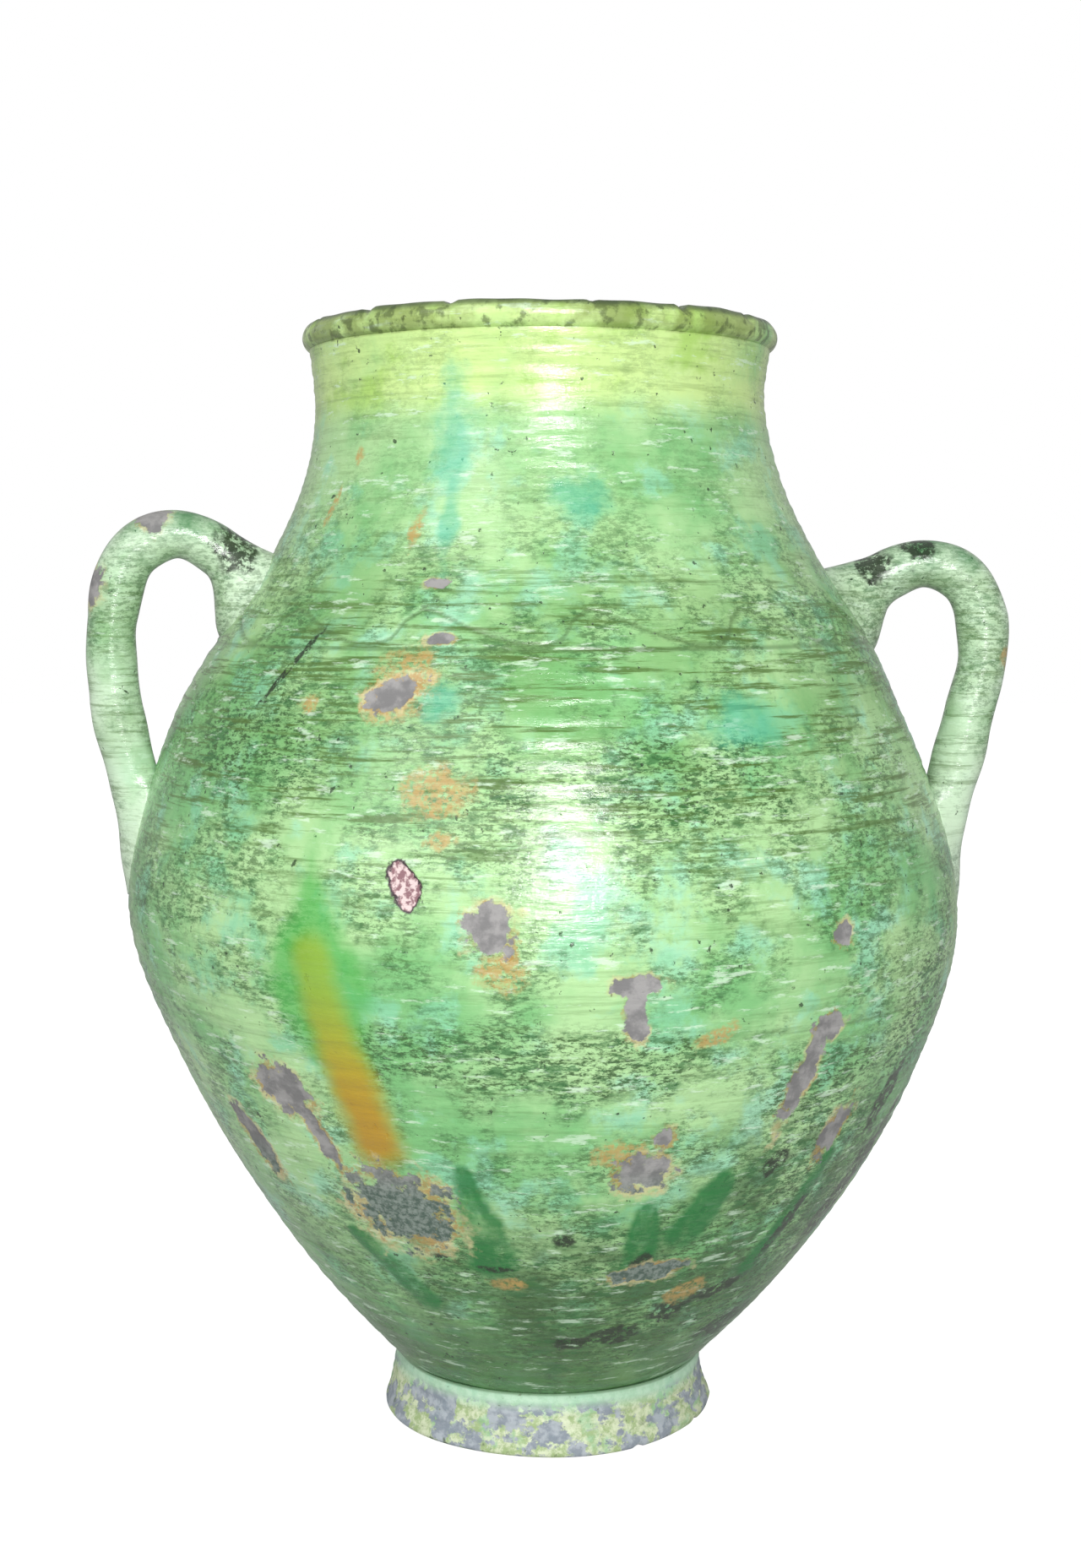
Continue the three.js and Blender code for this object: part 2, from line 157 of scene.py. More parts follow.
MARKS = (
    Mark(MarkKind.FLAKE, -21.3, 341, 25, 13, 24),
    Mark(MarkKind.OCHRE, -20.6, 344, 34, 26, 42),
    Mark(MarkKind.OCHRE, -35.1, 336, 13, 9),
    Mark(MarkKind.OCHRE, -13.5, 304, 34, 20),
    Mark(MarkKind.OCHRE, -12.4, 286, 13, 8),
    Mark(MarkKind.CHIP, -16.7, 269, 14, 21, 24),
    Mark(MarkKind.FLAKE, -6.0, 256, 22, 14),
    Mark(MarkKind.FLAKE, -5.8, 249, 22, 14),
    Mark(MarkKind.OCHRE, -4.8, 237, 22, 15),
    Mark(MarkKind.FLAKE, 11.0, 231, 21, 10, 4),
    Mark(MarkKind.FLAKE, 10.4, 219, 11, 22),
    Mark(MarkKind.OCHRE, 21.2, 210, 20, 8, 24),
    Mark(MarkKind.FLAKE, 37.9, 208, 20, 12, 25),
    Mark(MarkKind.FLAKE, 35.0, 186, 12, 42, -20),
    Mark(MarkKind.FLAKE, 45.2, 158, 13, 30, -20),
    Mark(MarkKind.FLAKE, 39.3, 245, 12, 11),
    Mark(MarkKind.FLAKE, 12.7, 151, 28, 19),
    Mark(MarkKind.FLAKE, 15.3, 167, 10, 12),
    Mark(MarkKind.OCHRE, 9.5, 160, 22, 14),
    Mark(MarkKind.FLAKE, -38.5, 180, 30, 24, -20),
    Mark(MarkKind.FLAKE, -34.5, 160, 10, 30, 20),
    Mark(MarkKind.FLAKE, -24.6, 131, 50, 40, -12),
    Mark(MarkKind.FLAKE, -51.0, 150, 16, 36, 20),
    Mark(MarkKind.OCHRE, -46.6, 438, 6, 8),
    Mark(MarkKind.OCHRE, -51.9, 416, 5, 18, -12),
    Mark(MarkKind.OCHRE, -26.1, 406, 7, 16, -12),
    Mark(MarkKind.FLAKE, -16.5, 362, 14, 5),
    Mark(MarkKind.FLAKE, -19.3, 384, 12, 4),
    Mark(MarkKind.DARK, -42.5, 348, 3, 40, -30),
    Mark(MarkKind.FLAKE, 17.0, 101, 34, 9, 6),
    Mark(MarkKind.OCHRE, 27.0, 88, 20, 12, 20),
    Mark(MarkKind.OCHRE, -8.0, 96, 18, 7),
    Mark(MarkKind.AMBER, -26.6, 200, 21, 98, 8),
    Mark(MarkKind.LEAF, -27.8, 226, 42, 176, 5),
    Mark(MarkKind.DRIP, -12.6, 138, 13, 36, 4),
    Mark(MarkKind.DRIP, -10.6, 116, 20, 34),
    Mark(MarkKind.DRIP, 14.3, 117, 15, 42),
    Mark(MarkKind.DRIP, 23.7, 131, 18, 40, -22),
    Mark(MarkKind.DRIP, 43.8, 120, 12, 64, -16),
    Mark(MarkKind.DRIP, -31.0, 98, 12, 50, 36),
    Mark(MarkKind.DARK, 15.1, 107, 9, 9),
    Mark(MarkKind.DARK, 44.0, 112, 7, 30, -16),
    Mark(MarkKind.DARK, 34.6, 149, 13, 10, 30),
    Mark(MarkKind.DARK, 14.6, 66, 26, 11, 12),
    Mark(MarkKind.DARK, 24.5, 76, 16, 14, 20),
    Mark(MarkKind.DARK, 35.0, 84, 30, 9, 16),
    Mark(MarkKind.DARK, 50.0, 58, 30, 18, 14),
    Mark(MarkKind.DARK, 61.9, 124, 24, 70, -24),
    Mark(MarkKind.DARK, 58.0, 165, 14, 36, -14),
    Mark(MarkKind.DARK, -9.5, 104, 15, 4),
    Mark(MarkKind.DARK, -20.0, 108, 14, 4),
    Mark(MarkKind.DARK, 1.5, 119, 9, 7),
    Mark(MarkKind.DARK, 6.0, 62, 18, 7),
    Mark(MarkKind.SHADE, 61.0, 196, 34, 60),
    Mark(MarkKind.SHADE, 12.0, 84, 130, 70),
    Mark(MarkKind.SHADE, 42.0, 130, 100, 130, -20),
    Mark(MarkKind.SHADE, -20.0, 204, 70, 22),
    Mark(MarkKind.SHADE, 6.0, 200, 110, 26),
    Mark(MarkKind.SHADE, -44.0, 318, 60, 40),
    Mark(MarkKind.SHADE, 18.0, 308, 130, 30),
    Mark(MarkKind.TEAL, -20.1, 446, 20, 44),
    Mark(MarkKind.TEAL, -19.5, 412, 8, 40),
    Mark(MarkKind.TEAL, 7.0, 420, 24, 20),
    Mark(MarkKind.TEAL, -14.0, 338, 16, 18),
    Mark(MarkKind.TEAL, 30.0, 330, 30, 20),
    Mark(MarkKind.FLAKE, 150.0, 230, 26, 22),
    Mark(MarkKind.FLAKE, -140.0, 160, 32, 24, 20),
    Mark(MarkKind.FLAKE, 118.0, 300, 18, 14),
    Mark(MarkKind.OCHRE, -165.0, 320, 26, 16),
    Mark(MarkKind.DRIP, 165.0, 126, 16, 54),
    Mark(MarkKind.DRIP, -120.0, 118, 18, 46, 8),
    Mark(MarkKind.DRIP, 105.0, 122, 15, 44, -8),
    Mark(MarkKind.AMBER, 140.0, 160, 15, 60, 6),
    Mark(MarkKind.LEAF, 141.0, 196, 28, 120),
    Mark(MarkKind.TEAL, 175.0, 440, 16, 44),
    Mark(MarkKind.SHADE, 180.0, 300, 160, 40),
    Mark(MarkKind.SHADE, -130.0, 90, 120, 60),
    Mark(MarkKind.DARK, -150.0, 74, 30, 12),
)

# One hook of the incised wave, as (share of its length, height above the line in millimetres)
HOOK = ((0.0, 1.5), (0.1, 4.0), (0.16, 11.5), (0.25, 15.5), (0.36, 14.0), (0.6, 7.0), (0.85, 2.0), (1.0, 1.5))
HOOKS, HOOK_SAMPLES = 13, 400

# Turned lines left by the throwing and the luting, as (height, half width, depth) in millimetres
LINES = (
    (207, 1.1, 0.6),
    (169, 0.9, 0.5),
    (384, 0.9, 0.5),
    (462, 1.0, 0.5),
    (98, 1.0, 0.5),
    (392, 0.8, 0.3),
    (60, 0.9, 0.4),
)


def wall_radius(height: Values) -> np.ndarray:
    """Finds the wall's outer radius.

    Args:
        height: Heights in millimetres, a number or an array.

    Returns:
        The radii in millimetres, from the smooth curve through the stations.
    """
    z = np.array([p[0] for p in OUTLINE])
    r = np.array([p[1] for p in OUTLINE])
    rise = np.diff(r) / np.diff(z)
    slope = np.empty(len(z))
    slope[0], slope[-1] = rise[0], rise[-1]
    below, above = np.diff(z)[:-1], np.diff(z)[1:]
    slope[1:-1] = (above * rise[:-1] + below * rise[1:]) / (below + above)
    h = np.clip(np.asarray(height, float), z[0], z[-1])
    i = np.clip(np.searchsorted(z, h, side="right") - 1, 0, len(z) - 2)
    span = z[i + 1] - z[i]
    t = (h - z[i]) / span
    return (
        (2 * t**3 - 3 * t**2 + 1) * r[i]
        + (t**3 - 2 * t**2 + t) * span * slope[i]
        + (3 * t**2 - 2 * t**3) * r[i + 1]
        + (t**3 - t**2) * span * slope[i + 1]
    )


def inner_radius(height: Values) -> np.ndarray:
    """Finds the wall's inner radius at heights in millimetres."""
    share = np.clip((height - WAIST) / (COLLAR - WAIST), 0, 1)
    thick = WALL_AT_WAIST + (WALL_AT_COLLAR - WALL_AT_WAIST) * share
    slope = (wall_radius(height + 1) - wall_radius(height - 1)) / 2
    return wall_radius(height) - thick * np.hypot(1, slope)


def lean(height: Values) -> Values:
    """Finds how far the middle has sagged towards +X, in millimetres."""
    return np.interp(height, [p[0] for p in LEAN], [p[1] for p in LEAN])


def field_of(kind: MarkKind, azimuth: np.ndarray, height: np.ndarray) -> np.ndarray:
    """Joins all marks of one kind into one field, never less than OUTSIDE."""
    field = np.full(azimuth.shape, OUTSIDE)
    for mark in MARKS:
        if mark.kind is kind:
            field = np.maximum(field, mark.field(azimuth, height))
    return field


def wave_height(azimuth: Values) -> Values:
    """Finds the incised wave's height above its line at each azimuth, in millimetres."""
    share = (azimuth / FULL_TURN * HOOKS) % 1
    return np.interp(share, [p[0] for p in HOOK], [p[1] for p in HOOK])


def groove(distance: np.ndarray, half_width: float, depth: Values) -> np.ndarray:
    """Shapes a rounded groove: its depth in millimetres at a distance from its middle."""
    return -depth * np.exp(-((distance / half_width) ** 2))


def distance_to_wave(azimuth: np.ndarray, height: np.ndarray) -> np.ndarray:
    """Finds the distance from the incised wave, square to it, in millimetres."""
    hook = FULL_TURN / HOOKS
    share = (azimuth % hook) / hook
    step = np.linspace(0, 1, HOOK_SAMPLES)
    rise = np.gradient(wave_height(step * FULL_TURN / HOOKS), math.tau / HOOKS / (HOOK_SAMPLES - 1))
    climb = np.abs(rise) / wall_radius(SHOULDER_SEAM)
    return (height - SHOULDER_SEAM - wave_height(azimuth)) / np.hypot(1, np.interp(share, step, climb))


def incised(azimuth: np.ndarray, height: np.ndarray) -> np.ndarray:
    """Finds how deep the cut and turned lines are at each point, in millimetres, below zero."""
    turn = np.radians(azimuth)
    depth = groove(height - SHOULDER_SEAM - 0.6 * np.sin(turn), CUT_WIDTH, CUT_DEPTH)
    depth += groove(distance_to_wave(azimuth, height), WAVE_WIDTH, WAVE_DEPTH)
    for line, width, deep in LINES:
        reach = np.clip(0.35 + 0.65 * np.sin(turn * 2 + line), 0, 1)
        depth += groove(height - line - 0.8 * np.sin(turn + line), width, deep * reach)
    return depth


def relief(azimuth: np.ndarray, height: np.ndarray) -> np.ndarray:
    """Finds how far the fired surface stands out from the plain wall.

    Args:
        azimuth: Degrees round from the front.
        height: Millimetres above the floor.

    Returns:
        The rise in millimetres: throwing ridges, the uneven wall, cut lines, losses and thick runs.
    """
    turn = np.radians(azimuth)
    drift = 1.6 * np.sin(turn + 0.7) + 1.1 * np.sin(2 * turn)
    swing = 0.6 + 0.4 * np.sin(turn + height / 23)
    out = RIDGE_RISE * np.sin((height + drift) * math.tau / RIDGE_PITCH) * swing
    out += FINE_RISE * np.sin((height - 2 * drift) * math.tau / FINE_PITCH)
    out += 0.5 * np.sin(3 * turn + height / 60) * np.exp(-(((height - 250) / 120) ** 2))
    out += incised(azimuth, height)
    beside = np.abs(distance_to_wave(azimuth, height)) - BURR_OFFSET
    out += BURR_RISE * np.exp(-((beside / BURR_WIDTH) ** 2))
    rough = 0.25 * np.sin(azimuth * 1.9 + height * 0.7) * np.sin(height * 0.9 - azimuth * 1.3)
    for kind, deep in LOSSES:
        field = field_of(kind, azimuth, height)
        out -= deep / (1 + np.exp(-(field + rough - 0.15) * 20))
    for kind in RUNS:
        out += RUN_RISE * np.clip(field_of(kind, azimuth, height), 0, 1) ** 0.5
    return out


def coordinates(mesh: bpy.types.Mesh) -> np.ndarray:
    """Reads a mesh's vertices as an array of shape (count, 3), in millimetres."""
    co = np.empty(len(mesh.vertices) * 3)
    mesh.vertices.foreach_get("co", co)
    return co.reshape(-1, 3) / MM


def set_coordinates(mesh: bpy.types.Mesh, co: np.ndarray) -> None:
    """Writes a mesh's vertices from an array of shape (count, 3), in millimetres."""
    mesh.vertices.foreach_set("co", (co * MM).ravel())
    mesh.update()


def write_field(mesh: bpy.types.Mesh, name: str, values: np.ndarray) -> None:
    """Writes one value for each vertex as a float attribute."""
    mesh.attributes.new(name, "FLOAT", "POINT").data.foreach_set("value", values)


def paint_fields(mesh: bpy.types.Mesh) -> None:
    """Writes each kind of mark, and the cut lines, on to a mesh of the wall."""
    co = coordinates(mesh)
    azimuth = np.degrees(np.arctan2(co[:, 0] - lean(co[:, 2]), -co[:, 1]))
    for kind in MarkKind:
        write_field(mesh, kind.value, field_of(kind, azimuth, co[:, 2]))
    write_field(mesh, CUT, -incised(azimuth, co[:, 2]))


def arc(middle: tuple, reach: tuple, start: float, end: float, count: int) -> Points:
    """Lists the points of an elliptical arc.

    Args:
        middle: The arc's middle, as (radius, height).
        reach: Its half axes.
        start: The first point's turn in degrees.
        end: The last point's turn in degrees.
        count: How many points to list.

    Returns:
        The points, as (radius, height) in millimetres.
    """
    turns = np.radians(np.linspace(start, end, count))
    return [(middle[0] + reach[0] * math.cos(a), middle[1] + reach[1] * math.sin(a)) for a in turns]


def finished(name: str, bm: bmesh.types.BMesh) -> bpy.types.Object:
    """Turns a bmesh into a smooth object whose faces point outwards, linked to the scene."""
    bmesh.ops.recalc_face_normals(bm, faces=bm.faces[:])
    mesh = bpy.data.meshes.new(name)
    bm.to_mesh(mesh)
    bm.free()
    mesh.polygons.foreach_set("use_smooth", [True] * len(mesh.polygons))
    obj = bpy.data.objects.new(name, mesh)
    bpy.context.collection.objects.link(obj)
    return obj


def spun(name: str, profile: Points, steps: int) -> bpy.types.Object:
    """Spins a profile into a closed object.

    Args:
        name: The object's name.
        profile: Points as (radius, height) in millimetres, closed on themselves or ending on the axis.
        steps: Divisions round the axis.

    Returns:
        The new object.
    """
    bm = bmesh.new()
    points = [bm.verts.new((r * MM, 0, z * MM)) for r, z in profile]
    pairs = list(zip(points, points[1:]))
    if profile[0][0] > 0:
        pairs.append((points[-1], points[0]))
    edges = [bm.edges.new(pair) for pair in pairs]
    axis = {"cent": (0, 0, 0), "axis": (0, 0, 1), "angle": math.tau}
    bmesh.ops.spin(bm, geom=points + edges, steps=steps, use_merge=True, **axis)
    bmesh.ops.remove_doubles(bm, verts=bm.verts[:], dist=1e-6)
    obj = finished(name, bm)
    obj.data.set_sharp_from_angle(angle=math.radians(50))
    return obj


def place(obj: bpy.types.Object, node: str, material: Material) -> None:
    """Ties a piece to the frame.

    Args:
        obj: The piece.
        node: The CAD node that it stands for.
        material: Its finish.
    """
    obj.data.materials.append(material)
    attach(obj, "root")
    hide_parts(node)
    LOG.info("%s: %d faces", obj.name, len(obj.data.polygons))


def add_node(
    tree: bpy.types.NodeTree, kind: str, settings: dict | None = None, inputs: dict | None = None
) -> bpy.types.Node:
    """Adds a node to a tree.

    Args:
        tree: The node tree.
        kind: The node's type.
        settings: Properties to set on it.
        inputs: What each input gets, a value or a socket to link.

    Returns:
        The node.
    """
    made = tree.nodes.new(kind)
    for key, value in (settings or {}).items():
        setattr(made, key, value)
    for key, value in (inputs or {}).items():
        if isinstance(value, Socket):
            tree.links.new(value, made.inputs[key])
        else:
            made.inputs[key].default_value = value
    return made


class Palette:
    """A node material under construction, with the few kinds of mixing that the finishes need."""

    @staticmethod
    def linear(code: int) -> tuple:
        """Turns an sRGB hex value into a linear colour with alpha."""
        parts = [((code >> shift) & 255) / 255 for shift in (16, 8, 0)]
        return tuple(c / 12.92 if c <= 0.04045 else ((c + 0.055) / 1.055) ** 2.4 for c in parts) + (1.0,)

    def __init__(self, name: str) -> None:
        """Starts a material that holds only its shader.

        Args:
            name: The material's name.
        """
        self.material = bpy.data.materials.new(name)
        self.material.use_nodes = True
        self.tree = self.material.node_tree
        self.tree.nodes.clear()
        self.shader = self.node("ShaderNodeBsdfPrincipled")
        self.node("ShaderNodeOutputMaterial", inputs={"Surface": self.shader.outputs["BSDF"]})
        self.place = self.node("ShaderNodeTexCoord").outputs["Object"]

    def node(self, kind: str, settings: dict | None = None, inputs: dict | None = None) -> bpy.types.Node:
        """Adds a node to this material."""
        return add_node(self.tree, kind, settings, inputs)

    def height(self) -> Socket:
        """Reads the height above the floor, in metres."""
        return self.node("ShaderNodeSeparateXYZ", inputs={0: self.place}).outputs[2]

    def math(self, operation: str, first: Socket, second: Socket | float, clamp: bool = False) -> Socket:
        """Joins two values by one operation."""
        settings = {"operation": operation, "use_clamp": clamp}
        return self.node("ShaderNodeMath", settings, {0: first, 1: second}).outputs[0]

    def times(self, first: Socket, second: Socket | float) -> Socket:
        """Multiplies two values."""
        return self.math("MULTIPLY", first, second)

    def plus(self, first: Socket, second: Socket | float) -> Socket:
        """Adds two values."""
        return self.math("ADD", first, second)

    def noise(self, size_mm: float, detail: float, stretch: tuple = (1, 1, 1), rough: float = 0.6) -> Socket:
        """Adds noise.

        Args:
            size_mm: How wide its features are, in millimetres.
            detail: How many finer layers it has.
            stretch: How much finer it is along each axis.
            rough: How strong the finer layers are.

        Returns:
            The noise, about 0 to 1.
        """
        scale = {0: self.place, 1: tuple(float(s) for s in stretch)}
        scaled = self.node("ShaderNodeVectorMath", {"operation": "MULTIPLY"}, scale).outputs[0]
        shape = {"Vector": scaled, "Scale": 1 / (size_mm * MM), "Detail": detail, "Roughness": rough}
        return self.node("ShaderNodeTexNoise", {"noise_dimensions": "3D"}, shape).outputs[0]

    def ramp(self, value: Socket, low: float, high: float) -> Socket:
        """Maps a value to 0 at low and 1 at high, smoothly."""
        ends = {"Value": value, "From Min": low, "From Max": high}
        return self.node("ShaderNodeMapRange", {"interpolation_type": "SMOOTHSTEP"}, ends).outputs[0]

    def mix(self, factor: Socket, first: Colour, second: Colour) -> Socket:
        """Mixes two colours, each a hex value or a socket."""
        made = self.node("ShaderNodeMix", {"data_type": "RGBA"}, {0: factor})
        for index, value in ((6, first), (7, second)):
            if isinstance(value, Socket):
                self.tree.links.new(value, made.inputs[index])
            else:
                made.inputs[index].default_value = self.linear(value)
        return made.outputs[2]

    def attribute(self, name: str) -> Socket:
        """Reads one of the mesh's float attributes."""
        return self.node("ShaderNodeAttribute", {"attribute_name": name}).outputs["Fac"]

    def ragged(self, kind: MarkKind, grain: Socket, edge: float, soft: float, amount: float) -> Socket:
        """Turns a mark's field into a mask.

        Args:
            kind: The kind of mark.
            grain: Noise that breaks up the mask's edge.
            edge: The field's value where the edge runs.
            soft: How soft the edge is.
            amount: How far the noise moves the edge.

        Returns:
            The mask, 0 to 1.
        """
        broken = self.times(self.math("SUBTRACT", grain, 0.5), amount)
        return self.ramp(self.plus(self.attribute(kind.value), broken), edge - soft, edge + soft)

    def over(self, colour: Colour, mask: Socket, strength: float, second: Colour) -> Socket:
        """Lays a second colour over the first where a mask allows it."""
        return self.mix(self.times(mask, strength), colour, second)

    def bump(self, height: Socket, strength: float, distance: float) -> None:
        """Roughens the surface by a height, with a distance in metres."""
        shape = {"Height": height, "Strength": strength, "Distance": distance}
        made = self.node("ShaderNodeBump", inputs=shape)
        self.tree.links.new(made.outputs[0], self.shader.inputs["Normal"])

    def fire(self, colour: Socket, matte: Socket, pits: Socket, grain: Socket) -> Material:
        """Finishes a lead glaze: its colour, how glossy it is and how it lies in ripples and pits.

        Args:
            colour: The glaze's colour.
            matte: Where it is worn or lost.
            pits: Where it has pinholes.
            grain: The noise that its gloss follows.

        Returns:
            The material.
        """
        self.tree.links.new(colour, self.shader.inputs["Base Color"])
        gloss = self.plus(self.times(grain, 0.34), 0.04)
        rough = self.math("MAXIMUM", gloss, self.times(matte, 0.85))
        self.tree.links.new(rough, self.shader.inputs["Roughness"])
        self.shader.inputs["IOR"].default_value = LEAD_GLAZE_IOR
        uneven = self.plus(self.times(self.noise(16, 6, (1, 1, 6)), 0.6), self.times(grain, 0.4))
        uneven = self.plus(uneven, self.times(self.noise(2.6, 4), 0.12))
        uneven = self.math("SUBTRACT", uneven, self.times(pits, 0.25))
        uneven = self.math("SUBTRACT", uneven, self.times(matte, 0.3))
        self.bump(uneven, 0.5, 0.0014)
        return self.material


@dataclass(frozen=True)
class GreenGlaze:
    """Copper-green lead glaze on a thrown wall: a wet gloss over a mottled ground, with runs and losses."""

    name: str
    mottle: float = 1.0
    wash: float = 0.0

    def ground(self, m: Palette, height: Socket, cloud: Socket, blotch: Socket) -> Socket:
        """Colours the plain glaze.

        Args:
            m: The material.
            height: The height above the floor.
            cloud: Wide noise.
            blotch: Noise of middle width.

        Returns:
            Pale green and aqua clouds, lime at the neck, dark where the glaze pools at the foot.
        """
        colour = m.mix(m.ramp(cloud, 0.36, 0.62), 0x7DC07A, 0xB3DD9E)
        colour = m.over(colour, m.ramp(blotch, 0.5, 0.66), 0.6, 0xA5E8CE)
        colour = m.over(colour, m.ramp(m.noise(48, 5), 0.52, 0.68), 0.5, 0x5DB56B)
        lime = m.times(m.ramp(height, 0.448, 0.466), m.ramp(cloud, 0.2, 0.5))
        colour = m.over(colour, lime, 0.85, 0xD3EE98)
        colour = m.over(colour, m.times(lime, m.ramp(m.noise(26, 4), 0.5, 0.66)), 0.6, 0x9CCB4E)
        colour = m.over(colour, m.ramp(cloud, 0.15, 0.45), self.wash, 0xE2F8DC)
        low = m.times(m.ramp(height, 0.16, 0.05), m.ramp(m.noise(34, 5), 0.3, 0.56))
        colour = m.over(colour, low, 0.7, 0x33702F)
        return m.over(colour, m.ramp(height, 0.085, 0.04), 0.65, 0x3C7436)

    def mottled(self, m: Palette, colour: Socket, height: Socket) -> tuple[Socket, Socket]:
        """Breaks the glaze up: dense olive specks, drawn-out throwing streaks, and dark pools in cut lines.

        Args:
            m: The material.
            colour: The glaze's colour so far.
            height: The height above the floor.

        Returns:
            The colour, and the mask of the pinholes.
        """
        density = m.ramp(m.noise(30, 6), 0.4, 0.57)
        shade = m.ramp(m.attribute(MarkKind.SHADE.value), -0.5, 0.5)
        shoulder = m.times(m.ramp(height, 0.28, 0.33), m.ramp(height, 0.42, 0.37))
        colour = m.over(colour, m.times(shoulder, m.ramp(m.noise(40, 5), 0.36, 0.6)), 0.45, 0x6C9E52)
        pooled = m.times(m.times(shade, m.ramp(height, 0.2, 0.13)), m.ramp(m.noise(19, 6), 0.38, 0.56))
        colour = m.over(colour, pooled, 0.75, 0x24521E)
        below_neck = m.ramp(height, 0.44, 0.37)
        dense = m.math("ADD", m.times(density, 0.75), m.times(shade, 0.85), clamp=True)
        dense = m.times(dense, m.plus(m.times(below_neck, 0.7 * self.mottle), 0.3 * self.mottle))
        fine = m.ramp(m.noise(4.2, 8, (1, 1, 2.6), 0.8), 0.47, 0.56)
        colour = m.over(colour, m.times(fine, dense), 0.95, 0x34592A)
        coarse = m.ramp(m.noise(11, 7, (1, 1, 2.6), 0.75), 0.5, 0.6)
        colour = m.over(colour, m.times(coarse, dense), 0.8, 0x2F6B35)
        band = m.times(m.ramp(height, 0.24, 0.31), m.ramp(height, 0.41, 0.36))
        streak = m.ramp(m.noise(46, 8, (1, 1, 16), 0.7), 0.5, 0.62)
        reach = m.plus(m.times(band, 0.65 * self.mottle), 0.25 * self.mottle)
        colour = m.over(colour, m.times(streak, reach), 1.0, 0x4F702C)
        pale = m.ramp(m.noise(20, 6, (1, 1, 5), 0.7), 0.57, 0.66)
        colour = m.over(colour, pale, 0.6, 0xDDF6DC)
        colour = m.over(colour, m.ramp(m.attribute(CUT), 0.15, 0.7), 0.55, 0x4F6E3C)
        pits = m.ramp(m.noise(4.5, 4), 0.66, 0.71)
        return m.over(colour, pits, 0.85, 0x22381C), pits

    def rimmed(self, m: Palette, colour: Socket, height: Socket, blotch: Socket, grain: Socket) -> Socket:
        """Darkens the rolled rim, where the glaze is thin and worn.

        Args:
            m: The material.
            colour: The glaze's colour so far.
            height: The height above the floor.
            blotch: Noise of middle width.
            grain: Fine noise.

        Returns:
            The colour.
        """
        lip = m.ramp(height, 0.4868, 0.4885)
        colour = m.over(colour, m.times(lip, m.ramp(blotch, 0.38, 0.56)), 0.7, 0x7E8F45)
        colour = m.over(colour, m.times(lip, m.ramp(grain, 0.5, 0.62)), 0.7, 0x4A5A2C)
        return m.over(colour, m.ramp(height, 0.4955, 0.4985), 0.75, 0x2A3D26)

    def runs(self, m: Palette, colour: Socket, height: Socket) -> Socket:
        """Lays the runs over the glaze: teal, leaf green, dark green, and amber that warms towards its foot.

        Args:
            m: The material.
            colour: The glaze's colour so far.
            height: The height above the floor.

        Returns:
            The colour.
        """
        soft, mid = m.noise(18, 4), m.noise(9, 4)
        colour = m.over(colour, m.ragged(MarkKind.TEAL, soft, 0.15, 0.5, 2.6), 0.6, 0x4CB894)
        colour = m.over(colour, m.ragged(MarkKind.LEAF, soft, 0.42, 0.16, 0.5), 0.75, 0x49AE4A)
        thick = m.ramp(m.noise(15, 5, (1, 1, 0.4)), 0.3, 0.55)
        drip = m.times(m.ragged(MarkKind.DRIP, soft, 0.08, 0.3, 1.2), m.plus(m.times(thick, 0.6), 0.4))
        colour = m.over(colour, drip, 0.9, 0x0B7430)
        colour = m.over(colour, m.ragged(MarkKind.AMBER, soft, 0.05, 0.6, 0.8), 0.8, 0x8FAE2C)
        warm = m.times(m.ragged(MarkKind.AMBER, soft, 0.15, 0.55, 0.8), m.ramp(height, 0.235, 0.185))
        colour = m.over(colour, warm, 0.88, m.mix(m.ramp(height, 0.215, 0.165), 0xB7A31C, 0xB98612))
        broken = m.ramp(m.noise(4, 6, rough=0.75), 0.4, 0.5)
        dark = m.times(m.ragged(MarkKind.DARK, mid, 0.05, 0.25, 2.2), broken)
        return m.over(colour, dark, 0.92, 0x16260F)

    def scars(self, m: Palette, colour: Socket, height: Socket, grain: Socket) -> tuple[Socket, Socket]:
        """Lays the losses over the glaze: ochre stains, and grey clay inside a broken cream and ochre edge.

        Args:
            m: The material.
            colour: The glaze's colour so far.
            height: The height above the floor.
            grain: Noise that breaks up the edges.

        Returns:
            The colour, and the mask of bare clay.
        """
        fine = m.noise(2.6, 5, rough=0.7)
        stain = m.times(m.ragged(MarkKind.OCHRE, grain, 0.12, 0.3, 2.0), m.ramp(fine, 0.36, 0.56))
        colour = m.over(colour, stain, 0.8, 0xBE9A58)
        edge = m.times(m.ragged(MarkKind.FLAKE, grain, -0.15, 0.22, 2.2), m.ramp(m.noise(20, 4), 0.42, 0.6))
        colour = m.over(colour, edge, 0.75, 0xD6CB98)
        rust = m.times(m.ragged(MarkKind.FLAKE, fine, 0.02, 0.12, 2.2), m.ramp(m.noise(16, 4), 0.4, 0.6))
        colour = m.over(colour, rust, 0.7, 0xAE8440)
        bare = m.ragged(MarkKind.FLAKE, grain, 0.14, 0.09, 2.4)
        grey = m.mix(m.ramp(m.noise(9, 5), 0.4, 0.62), 0x7C7B7B, 0x9E9C9B)
        mossy = m.mix(m.ramp(fine, 0.4, 0.6), 0x4F6358, 0x86928A)
        colour = m.mix(bare, colour, m.mix(m.ramp(height, 0.155, 0.135), grey, mossy))
        colour = m.mix(m.ragged(MarkKind.CHIP, grain, 0.05, 0.08, 1.5), colour, 0x3A2A30)
        pit = m.ragged(MarkKind.CHIP, grain, 0.24, 0.08, 1.7)
        pink = m.mix(m.ramp(m.noise(2.4, 3), 0.44, 0.58), 0x8F6A70, 0xE3CDCB)
        return m.mix(pit, colour, pink), m.math("MAXIMUM", bare, pit)

